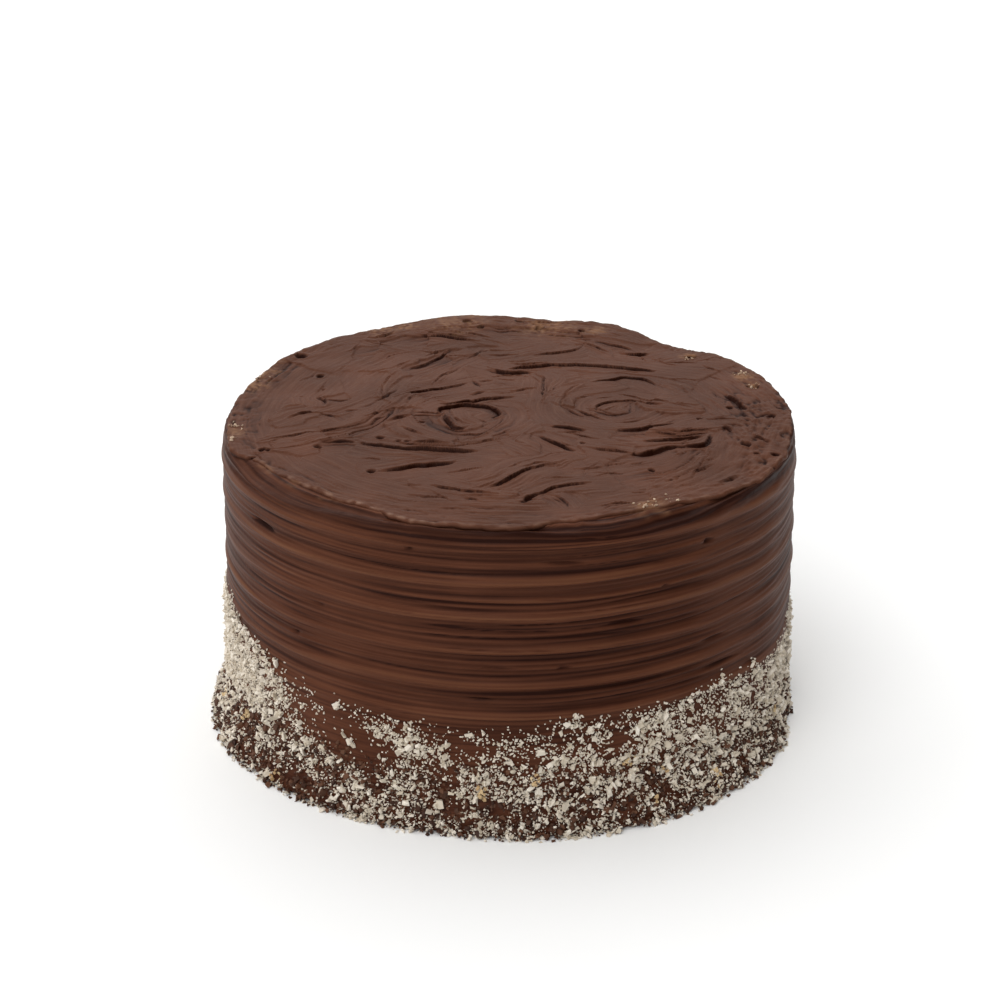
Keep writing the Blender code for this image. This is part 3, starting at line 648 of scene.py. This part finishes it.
def top_painted_light(flat, share, relief, upright):
    """How light the icing is painted: painted shade in the cuts and on their walls, a painted shadow under
    the rolled edge, and a painted highlight along the ragged edge.
    """
    places = np.column_stack([flat, np.zeros(len(flat))])
    level = relief - slow_rise(places)
    angle = front_angle(*flat.T)
    # painted highlight: a light line along the ragged edge
    edge_highlight = np.exp(-((share - EDGE_HIGHLIGHT_SHARE) / EDGE_HIGHLIGHT_WIDTH) ** 2)
    edge_highlight *= np.clip(0.3 + 2.4 * lumps(places, 2.6 * MM, 60), 0, 1)
    edge_highlight *= 0.3 + 0.7 * np.exp(-(degrees_off(angle, EDGE_HIGHLIGHT_ANGLE) / EDGE_HIGHLIGHT_SPREAD) ** 2)
    # painted shade on the cuts' steep walls and down in the cuts
    wall = (1 - smooth_step(*CUT_WALL, upright)) * (share < 0.97)
    painted_cut_shade = smooth_step(*CUT_SHADE, -level)
    # painted shadow under the rolled edge, left out where the top rolls softly into the side
    soft = degrees_off(angle, SOFT_EDGE_ANGLE)
    under = smooth_step(0.99, 1, share) * (1 - np.exp(-(soft / SOFT_EDGE_SPREAD) ** 4))
    return 0.5 - 0.5 * np.maximum(painted_cut_shade, 0.9 * wall) + 0.5 * edge_highlight - 0.35 * under


def make_icing_top(material):
    """The knife-worked top, out to its ragged edge."""
    bpy.ops.mesh.primitive_grid_add(x_subdivisions=TOP_CELLS, y_subdivisions=TOP_CELLS, size=2)
    piece = bpy.context.object
    piece.name = "icing_top"
    disc = square_to_disc(mesh_points(piece)[:, :2])
    share = np.hypot(*disc.T)
    unit = disc / np.maximum(share, 1e-9)[:, None]
    angle = front_angle(*unit.T)
    roll = np.clip((share - PLATE_SHARE) / (1 - PLATE_SHARE), 0, 1) * math.pi / 2
    radius = np.minimum(share / PLATE_SHARE, 1) * ragged_edge(unit, angle)
    flat = unit * radius[:, None]
    relief = top_relief(flat)
    z = CAKE_HEIGHT + rim_rise(angle, share) + relief - EDGE_DROP * (1 - np.cos(roll))
    radius = radius + EDGE_ROLL * np.sin(roll)
    set_points(piece, np.column_stack([unit * radius[:, None], np.minimum(z, CEILING)]))
    upright = np.array([normal.vector.z for normal in piece.data.vertex_normals])
    # the top's painted shade, shadow and highlight, for its material to read
    set_values(piece, "painted_light_and_tone", top_painted_light(flat, share, relief, upright))
    thinner = piece.modifiers.new("thinner", "DECIMATE")
    thinner.ratio = TOP_KEPT
    bpy.context.view_layer.objects.active = piece
    bpy.ops.object.modifier_apply(modifier=thinner.name)
    points = mesh_points(piece)
    across, along, owner, _ = knife_flow(points[:, :2] / MM)
    set_values(piece, "across", across)
    set_values(piece, "along", along + owner * STREAKS_APART)
    set_values(piece, "beside", np.zeros_like(along))
    set_values(piece, "thin_icing_and_glint", thin_icing_and_glint(points))
    close_ends(piece, 0.95, -HIDDEN_DROP)
    piece.data.shade_smooth()
    finish_piece(piece, material)


def thin_icing_and_glint(places):
    """How much of the tan crumb below shows through the icing at each place, and where the front rim has a
    painted glint.
    """
    ragged = 0.7 * lumps(places, 5 * MM, 31) + 1.3 * lumps(places, 1.3 * MM, 32)
    shown = np.zeros(len(places))
    for x, y, half_width, strength in THIN_ICING_AND_GLINT_PLACES:
        away = np.hypot(places[:, 0] / MM - x, places[:, 1] / MM - y) / half_width
        shown = np.maximum(shown, strength * np.exp(-away ** 2))
    shown *= smooth_step(*THIN_HEIGHTS, places[:, 2])
    return np.clip((shown * (1 + 1.3 * ragged) - 0.18) * 1.3, 0, 1)


def shoulder_lines(unit, level):
    """Thin ridges, one above the other, that the comb and the knife left on the shoulder."""
    places = np.column_stack([unit * CAKE_RADIUS, level])
    thin = bands(places, 60, 3.0, 30)
    thick = bands(places, 40, 5.5, 31)
    rough = 0.25 * MM * lumps(places, 2.2 * MM, 32)
    return 2.4 * MM * (0.16 - np.abs(thin)) + 1.4 * MM * (0.16 - np.abs(thick)) + rough


def side_tone_and_painted_light(angle, places):
    """How light the icing is painted: painted shade under the comb's ridges and a painted highlight on
    their crests, painted shade on the shoulder and in the nicks, a little darker below the comb, with the
    icing's own fine lines and bands.
    """
    z = places[:, 2]
    level = z - around(COMB_RUN, 1, angle)
    raised = comb_relief(level, places) / (COMB_DEPTH * MM)
    shoulder = smooth_step(*SHOULDER_SHADE, z)
    fine = 0.34 * bands(places, 180, 1.0, 34) - 0.2 * comb_scratches(places)
    fine = fine * np.maximum(around(COMB_RUN, 3, angle), 1.8 * shoulder)
    streaks = 0.05 * bands(places, 90, 7, 33) + fine
    combed = comb_share(level) * around(COMB_RUN, 2, angle)
    plain_foot = 1 - smooth_step(*COMB_START, level)
    # painted shade in the nicks
    torn = smooth_step(0.15 * MM, 0.8 * MM, -nick_relief(angle, z))
    # painted shade under the comb's ridges and a painted highlight on their crests, then painted shade on
    # the shoulder
    lit = 0.5 - (0.27 - 0.45 * raised) * combed + streaks
    lit = lit - 0.17 * shoulder - 0.08 * plain_foot - 0.32 * torn
    # darker at the crumbly foot: partly the crumb's own colour, partly painted shade among the flakes
    crumbly = 1 - smooth_step(*CRUMBLY_COLOUR_AND_SHADE, z)
    return lit * (1 - crumbly) + (0.25 + 0.3 * lumps(places, 3 * MM, 35)) * crumbly


def make_icing_side(material):
    """The combed wall and the shoulder above it, crumbly at its foot, from the base to under the top."""
    bpy.ops.mesh.primitive_grid_add(x_subdivisions=SIDE_COLUMNS, y_subdivisions=SIDE_ROWS, size=2)
    piece = bpy.context.object
    piece.name = "icing_side"
    grid = mesh_points(piece)
    turn = grid[:, 0] * math.pi
    share = (grid[:, 1] + 1) / 2
    unit = np.stack([np.cos(turn), np.sin(turn)], axis=1)
    angle = front_angle(*unit.T)
    edge = around(RIM, 1, angle)
    above = share > WALL_SHARE
    crown = np.full(len(unit), CAKE_HEIGHT) + around(RIM, 2, angle)
    crown[above] += top_relief(unit[above] * edge[above, None]) - UNDER_PLATE
    shoulder_foot = CAKE_HEIGHT + around(RIM, 2, angle) - around(RIM, 3, angle)

    up = np.minimum(share / WALL_SHARE, 1)
    z = up * (1.3 - 0.3 * up) * shoulder_foot
    radius = wall_radius(unit[:, 0], unit[:, 1], z)
    bend = np.clip((share - WALL_SHARE) / (SHOULDER_SHARE - WALL_SHARE), 0, 1) * math.pi / 2
    climb = crown - shoulder_foot
    level = z + np.hypot(climb, radius - edge) * bend * 2 / math.pi
    calm = smooth_step(0, 0.35, bend) * (1 - 0.7 * smooth_step(1.3, math.pi / 2, bend))
    lines = shoulder_lines(unit, level) * calm
    # painted shade and highlight of the combed side, with the icing's own lines, for its material to read
    set_values(piece, "painted_light_and_tone", side_tone_and_painted_light(angle, np.column_stack([unit * CAKE_RADIUS, level])))
    set_values(piece, "across", (level - around(COMB_RUN, 1, angle)) / MM)
    radius = edge + (radius - edge) * np.cos(bend) + lines * np.cos(bend)
    z = z + climb * np.sin(bend) * above + lines * np.sin(bend)
    tuck = np.clip((share - SHOULDER_SHARE) / (1 - SHOULDER_SHARE), 0, 1)
    radius = radius - HIDDEN_INSET * tuck
    z = z - HIDDEN_DROP * tuck ** 2
    base = 1 - smooth_step(0, BASE_EDGE_HEIGHT, z)
    radius = radius - BASE_EDGE_INSET * base ** 2
    set_points(piece, np.column_stack([unit * radius[:, None], np.minimum(z, CEILING)]))
    bpy.context.view_layer.objects.active = piece
    bpy.ops.object.mode_set(mode="EDIT")
    bpy.ops.mesh.select_all(action="SELECT")
    bpy.ops.mesh.remove_doubles(threshold=0.01 * MM)
    bpy.ops.mesh.normals_make_consistent(inside=False)
    bpy.ops.object.mode_set(mode="OBJECT")
    piece.select_set(False)
    close_ends(piece, 0.9, 0)
    points = mesh_points(piece)
    set_values(piece, "along", points[:, 0] / MM)
    set_values(piece, "beside", points[:, 1] / MM)
    set_values(piece, "thin_icing_and_glint", thin_icing_and_glint(points))
    piece.data.shade_smooth()
    finish_piece(piece, material)


def coconut_density(angle, z):
    """How thickly coconut lies at an angle and a height, from 0 to 1."""
    turn = np.radians(angle)
    places = np.stack([np.sin(turn) * CAKE_RADIUS, -np.cos(turn) * CAKE_RADIUS, z], axis=1)
    edge = around(COCONUT_EDGE, 1, angle) + 3 * MM * lumps(places * (1, 1, 0), 7 * MM, 40)
    below = 1 - smooth_step(edge - 7 * MM, edge + 1 * MM, z)
    low = 1 - smooth_step(*CRUMBLY_SHAPE, z)
    thick = 0.38 + 0.26 * low
    for centre, height, half_angle, half_height, weight in PATCHES:
        off = degrees_off(angle, centre)
        thick = thick + weight * np.exp(-(off / half_angle) ** 2 - ((z / MM - height) / half_height) ** 2)
    clumped = lumps(places, 9 * MM, 41) + 0.8 * lumps(places, 3.4 * MM, 42)
    return np.clip(thick * (1 + 1.1 * clumped), 0, 1) * below


def crumb_density(angle, z):
    """How thickly dark crumbs lie in the foot at a height, from 0 to 1."""
    return 0.7 * (1 - smooth_step(8 * MM, 27 * MM, z))


def draw_places(dice, count, density, top):
    """Random places on the lower wall, angle and height, thick where the density is high."""
    found = np.empty((0, 2))
    while len(found) < count:
        angle = dice.uniform(0, 360, 4 * count)
        z = dice.uniform(0, 1, 4 * count) * top
        kept = dice.uniform(0, 1, 4 * count) < density(angle, z)
        found = np.vstack([found, np.column_stack([angle, z])[kept]])
    return found[:count]


def chip_shapes(dice, kind, count=14):
    """A few uneven little solids, 1 across, to copy: round chips, or grit with 8 corners."""
    if kind == "chip":
        bpy.ops.mesh.primitive_ico_sphere_add(subdivisions=1, radius=0.5)
    else:
        bpy.ops.mesh.primitive_cube_add(size=0.8)
    pattern = bpy.context.object
    corners = mesh_points(pattern)
    faces = [list(face.vertices) for face in pattern.data.polygons]
    bpy.data.objects.remove(pattern)
    shapes = corners + dice.uniform(-0.25, 0.25, (count, len(corners), 3))
    return shapes, np.array(faces)


def random_turns(dice, count):
    """Rotation matrices that point every way alike."""
    q = dice.normal(size=(count, 4))
    w, x, y, z = (q / np.linalg.norm(q, axis=1)[:, None]).T
    turns = np.array([[1 - 2 * (y * y + z * z), 2 * (x * y - z * w), 2 * (x * z + y * w)],
                      [2 * (x * y + z * w), 1 - 2 * (x * x + z * z), 2 * (y * z - x * w)],
                      [2 * (x * z - y * w), 2 * (y * z + x * w), 1 - 2 * (x * x + y * y)]])
    return turns.transpose(2, 0, 1)


def chip_sizes(long, width, thickness):
    """Length, width and thickness of each chip, the last two given as shares of its length."""
    return np.column_stack([long, long * width, long * thickness])


def make_scatter(name, dice, kind, centres, sizes, material):
    """One mesh of many chips, each with its own place, size, turn and shade."""
    shade = dice.uniform(0, 1, len(centres))
    shapes, faces = chip_shapes(dice, kind)
    chosen = shapes[dice.integers(0, len(shapes), len(centres))]
    turns = random_turns(dice, len(centres))
    points = np.einsum("nij,nkj->nki", turns, chosen * sizes[:, None, :]) + centres[:, None, :]
    low, high = np.array(cake_low) + INSIDE, np.array(cake_high) - INSIDE
    low[:2] -= FRINGE
    high[:2] += FRINGE
    points = np.clip(points, low, high)
    corner_count = points.shape[1]
    all_faces = faces[None] + (np.arange(len(centres)) * corner_count)[:, None, None]
    mesh = bpy.data.meshes.new(name)
    mesh.from_pydata(points.reshape(-1, 3), [], all_faces.reshape(-1, faces.shape[1]).tolist())
    piece = bpy.data.objects.new(name, mesh)
    bpy.context.scene.collection.objects.link(piece)
    set_values(piece, "shade", np.repeat(shade, corner_count))
    finish_piece(piece, material)


def on_wall(angle, z, lift):
    """Places that stand off the iced wall by a lift."""
    turn = np.radians(angle)
    x, y = np.sin(turn), -np.cos(turn)
    radius = wall_radius(x, y, np.maximum(z, 0)) + lift
    return np.column_stack([x * radius, y * radius, z])


def let_fall(dice, z, lift):
    """Lets some of what is on the foot lie loose a little way out from it: height and lift."""
    loose = dice.uniform(0, 1, len(z)) ** 2 * (1 - smooth_step(0, 8 * MM, z))
    return z * (1 - 0.8 * loose), lift + FRINGE * loose


def clumps(dice, centres, members, spread, rise):
    """Places heaped round each centre, higher in its middle: angle, height and lift."""
    owner = np.repeat(np.arange(len(centres)), members)
    offset = dice.normal(0, 1, (len(owner), 2)) * spread[owner][:, None]
    angle = centres[owner, 0] + np.degrees(offset[:, 0] / CAKE_RADIUS)
    z = np.abs(centres[owner, 1] + offset[:, 1])
    middle = np.exp(-(offset ** 2).sum(1) / (2 * spread[owner] ** 2))
    lift = rise[owner] * middle * dice.uniform(0, 1, len(owner))
    return angle, z, lift


def make_coconut(white, cream, crumb):
    """The coconut and the dark crumbs on the lower side, from the largest flakes to the finest."""
    dice = np.random.default_rng(COCONUT_SEED)

    centres = draw_places(dice, FLAKE_HEAPS, lambda a, z: coconut_density(a, z) ** 1.4, COCONUT_TOP)
    members = dice.integers(2, 8, len(centres))
    spread = dice.uniform(0.4, 1.5, len(centres)) * MM
    angle, z, lift = clumps(dice, centres, members, spread, dice.uniform(0.4, 1.5, len(centres)) * MM)
    long = dice.lognormal(math.log(1.0), 0.45, len(angle)).clip(0.5, 3.4) * MM
    sizes = chip_sizes(long, dice.uniform(0.4, 0.85, len(long)), dice.uniform(0.25, 0.55, len(long)))
    z, lift = let_fall(dice, z, lift + 0.18 * long)
    make_scatter("coconut_flakes", dice, "grit", on_wall(angle, z, lift), sizes, white)

    angle, z = draw_places(dice, FINE_FLAKES, coconut_density, COCONUT_TOP).T
    long = dice.uniform(0.45, 0.95, len(angle)) * MM
    sizes = chip_sizes(long, 0.7, 0.5)
    z, lift = let_fall(dice, z, 0.15 * long)
    make_scatter("fine_coconut", dice, "grit", on_wall(angle, z, lift), sizes, white)

    places = draw_places(dice, GRIT_GRAINS, lambda a, z: 0.07 + 0.93 * coconut_density(a, z), GRIT_TOP)
    angle, z = places.T
    long = dice.uniform(0.3, 0.75, len(angle)) * MM
    sizes = chip_sizes(long, 0.8, 0.6)
    make_scatter("coconut_grit", dice, "grit", on_wall(angle, z, 0.15 * long), sizes, white)

    heaps = np.array(TOASTED_HEAPS, float) * (1, MM)
    members = np.full(len(heaps), TOASTED_FLAKES)
    spread = np.full(len(heaps), TOASTED_SPREAD)
    angle, z, lift = clumps(dice, heaps, members, spread, spread)
    long = dice.uniform(0.8, 2.0, len(angle)) * MM
    sizes = chip_sizes(long, 0.8, 0.55)
    places = on_wall(angle, z, lift + 0.2 * long)
    make_scatter("toasted_coconut", dice, "chip", places, sizes, cream)

    angle, z = draw_places(dice, DARK_CRUMBS, crumb_density, CRUMB_TOP).T
    long = dice.lognormal(math.log(1.1), 0.4, len(angle)).clip(0.6, 3.0) * MM
    sizes = chip_sizes(long, 0.85, 0.7)
    z, lift = let_fall(dice, z, 0.1 * long)
    make_scatter("cake_crumbs", dice, "chip", on_wall(angle, z, lift), sizes, crumb)


def make_rim_crumbs_and_glints(material):
    """Pale crumbs caught in the icing round the rim, and pale chips on the front rim as a painted glint."""
    dice = np.random.default_rng(RIM_CRUMB_SEED)
    spots = []
    for x, y, half_width, count in RIM_CRUMBS_AND_GLINTS:
        spots.append(dice.normal(0, 0.5, (count, 2)) * half_width + (x, y))
    xy = np.vstack(spots) * MM
    reach = np.hypot(*xy.T)
    angle = front_angle(*xy.T)
    edge = around(RIM, 1, angle)
    xy *= (np.minimum(reach, edge) / reach)[:, None]
    long = dice.uniform(0.4, 1.5, len(xy)) * MM
    height = CAKE_HEIGHT + rim_rise(angle, np.minimum(reach / edge, 1)) + top_relief(xy) + 0.1 * long
    places = np.column_stack([xy, height])
    make_scatter("rim_crumbs_and_glints", dice, "chip", places, chip_sizes(long, 0.7, 0.5), material)


def linear(hex_colour):
    """A colour written as sRGB hex, as the linear values that a shader takes."""
    values = [int(hex_colour[i:i + 2], 16) / 255 for i in (1, 3, 5)]
    return [v / 12.92 if v <= 0.04045 else ((v + 0.055) / 1.055) ** 2.4 for v in values] + [1]


def node(material, kind, inputs=None, **settings):
    """Adds a shader node. Each input is a value, or the output socket that feeds it."""
    tree = material.node_tree
    made = tree.nodes.new("ShaderNode" + kind)
    for name, value in settings.items():
        setattr(made, name, value)
    for socket, value in (inputs or {}).items():
        if isinstance(value, bpy.types.NodeSocket):
            tree.links.new(value, made.inputs[socket])
        else:
            made.inputs[socket].default_value = value
    return made


def new_material(name):
    """An empty material to add nodes to."""
    material = bpy.data.materials.new(name)
    material.use_nodes = True
    material.node_tree.nodes.clear()
    return material


def per_metre(size):
    """A texture's scale whose features are a size across."""
    return 1 / size


def buttercream(name, colours, sheen_level, line_stretch, line_strength):
    """Chocolate buttercream: dark and satin, with fine lines along the sweeps of the knife or comb.

    The smaller line_stretch is, the longer the lines run. They are line_strength lighter or darker.
    """
    dark, light, shade_brown, highlight_brown = colours
    m = new_material(name)
    place = node(m, "TexCoord").outputs["Object"]
    # broad clouds where the icing lies thick or thin
    wide = node(m, "TexNoise", {"Vector": place, "Scale": per_metre(CLOUD_SIZE), "Detail": 3})
    # fine lines, long along the sweep and thin across it
    across = node(m, "Attribute", attribute_name="across").outputs["Fac"]
    along = node(m, "Attribute", attribute_name="along").outputs["Fac"]
    beside = node(m, "Attribute", attribute_name="beside").outputs["Fac"]
    slow = node(m, "Math", {0: along, 1: line_stretch}, operation="MULTIPLY").outputs["Value"]
    slower = node(m, "Math", {0: beside, 1: line_stretch}, operation="MULTIPLY").outputs["Value"]
    ribbon = node(m, "CombineXYZ", {"X": across, "Y": slow, "Z": slower}).outputs["Vector"]
    lines = node(m, "TexNoise", {"Vector": ribbon, "Scale": LINE_SCALE, "Detail": 3}).outputs["Fac"]
    streak = node(m, "MapRange", {"Value": lines, "From Min": 0.35, "From Max": 0.65,
                                  "To Min": -line_strength, "To Max": line_strength}).outputs["Result"]
    # painted light: darker in the cuts and under the ridges as painted shade, lighter along the top's edge
    # and on the comb's crests as a painted highlight
    level = node(m, "Attribute", attribute_name="painted_light_and_tone").outputs["Fac"]
    painted_light_and_tone = node(m, "Math", {0: level, 1: streak}, operation="ADD").outputs["Value"]
    plain = node(m, "Mix", {"Factor": wide.outputs["Fac"], "A": linear(dark), "B": linear(light)},
                 data_type="RGBA")
    low = node(m, "MapRange", {"Value": painted_light_and_tone, "From Min": 0.5, "From Max": 0.0}).outputs["Result"]
    deep = node(m, "Mix", {"Factor": low, "A": plain.outputs["Result"], "B": linear(shade_brown)},
                data_type="RGBA")
    high = node(m, "MapRange", {"Value": painted_light_and_tone, "From Min": 0.5, "From Max": 1.0}).outputs["Result"]
    brown = node(m, "Mix", {"Factor": high, "A": deep.outputs["Result"], "B": linear(highlight_brown)},
                 data_type="RGBA")
    # the crumb below, where the icing is thin, and a painted glint on the front rim
    thin = node(m, "Attribute", attribute_name="thin_icing_and_glint").outputs["Fac"]
    colour = node(m, "Mix", {"Factor": thin, "A": brown.outputs["Result"], "B": linear(TAN_CRUMB_AND_GLINT)},
                  data_type="RGBA")
    # sugar grain, in the surface and in its sheen
    grain = node(m, "TexNoise", {"Vector": place, "Scale": per_metre(GRAIN_SIZE), "Detail": 4})
    fine = grain.outputs["Fac"]
    drawn = node(m, "Bump", {"Height": lines, "Strength": 0.25, "Distance": 0.6 * MM})
    bump = node(m, "Bump", {"Height": fine, "Strength": 0.12, "Distance": 0.5 * MM,
                            "Normal": drawn.outputs["Normal"]})
    sheen = node(m, "MapRange", {"Value": fine, "To Min": 0.4, "To Max": 0.55})
    shader = node(m, "BsdfPrincipled", {
        "Base Color": colour.outputs["Result"], "Roughness": sheen.outputs["Result"],
        "Normal": bump.outputs["Normal"], "Specular IOR Level": sheen_level, "IOR": 1.45})
    node(m, "OutputMaterial", {"Surface": shader.outputs["BSDF"]})
    return m


def dry_flakes(name, dark, light):
    """Dried coconut or cake crumb: dull all over, and a little lighter or darker from bit to bit."""
    m = new_material(name)
    shade = node(m, "Attribute", attribute_name="shade").outputs["Fac"]
    colour = node(m, "Mix", {"Factor": shade, "A": linear(dark), "B": linear(light)}, data_type="RGBA")
    shader = node(m, "BsdfPrincipled", {"Base Color": colour.outputs["Result"], "Roughness": 0.7,
                                        "Specular IOR Level": 0.3})
    node(m, "OutputMaterial", {"Surface": shader.outputs["BSDF"]})
    return m


def make_floor():
    """The plain pale floor that the cake stands on."""
    bpy.ops.mesh.primitive_plane_add(size=8)
    floor = bpy.context.object
    floor.name = "floor"
    m = new_material("pale_floor")
    shader = node(m, "BsdfPrincipled", {"Base Color": linear("#fafaf9"), "Roughness": 0.6,
                                        "Specular IOR Level": 0.2})
    node(m, "OutputMaterial", {"Surface": shader.outputs["BSDF"]})
    floor.data.materials.append(m)
    floor.select_set(False)


def make_sun(name, azimuth, elevation, strength, softness):
    """A wide soft light from an angle round the cake, counted from the front, and an elevation."""
    data = bpy.data.lights.new(name, "SUN")
    data.energy = strength
    data.angle = math.radians(softness)
    light = bpy.data.objects.new(name, data)
    turn, rise = math.radians(azimuth), math.radians(elevation)
    place = Vector((math.sin(turn) * math.cos(rise), -math.cos(turn) * math.cos(rise), math.sin(rise)))
    light.location = place
    light.rotation_euler = place.to_track_quat("Z", "Y").to_euler()
    bpy.context.scene.collection.objects.link(light)


def make_studio():
    """A white room and its soft lights, the strongest from behind."""
    world = bpy.data.worlds.new("studio")
    world.use_nodes = True
    background = world.node_tree.nodes["Background"]
    background.inputs["Color"].default_value = (1, 1, 1, 1)
    background.inputs["Strength"].default_value = ROOM_LIGHT
    bpy.context.scene.world = world
    for name, light in LIGHTS.items():
        make_sun(name, *light)
    bpy.context.scene.view_settings.view_transform = "Standard"


def make_camera():
    """The camera, at the place and the angle of the photograph."""
    data = bpy.data.cameras.new("camera")
    data.lens = CAMERA_LENS
    data.sensor_width = 36
    camera = bpy.data.objects.new("camera", data)
    camera.location = CAMERA_PLACE
    camera.rotation_euler = (Vector(CAMERA_AIM) - camera.location).to_track_quat("-Z", "Y").to_euler()
    bpy.context.scene.collection.objects.link(camera)
    bpy.context.scene.camera = camera


def main():
    """Sets the scene and makes the pieces, each with its finish."""
    bpy.ops.object.select_all(action="DESELECT")
    make_camera()
    make_studio()
    make_floor()
    # Butter and chocolate, satin: smooth where the knife spread it, streaked where the comb ran
    spread = buttercream("spread_buttercream", SPREAD_BROWNS, sheen_level=0.05, line_stretch=0.06,
                         line_strength=0.06)
    combed = buttercream("combed_buttercream", COMBED_BROWNS, sheen_level=0.06, line_stretch=0.02,
                         line_strength=0.1)
    make_icing_top(spread)
    make_icing_side(combed)
    # Shredded coconut, off-white, and yellowish where it was toasted
    white = dry_flakes("dried_coconut", "#c8bba7", "#eae1d3")
    cream = dry_flakes("toasted_coconut", "#bd9b70", "#dcc59c")
    # Sponge crumbs, dark in the foot and pale in the rim, where those on the front rim are a painted glint
    dark_crumb = dry_flakes("chocolate_crumb", "#362017", "#66432f")
    make_coconut(white, cream, dark_crumb)
    make_rim_crumbs_and_glints(dry_flakes("pale_crumb_and_glint", "#8d6f58", "#cbb39b"))


main()
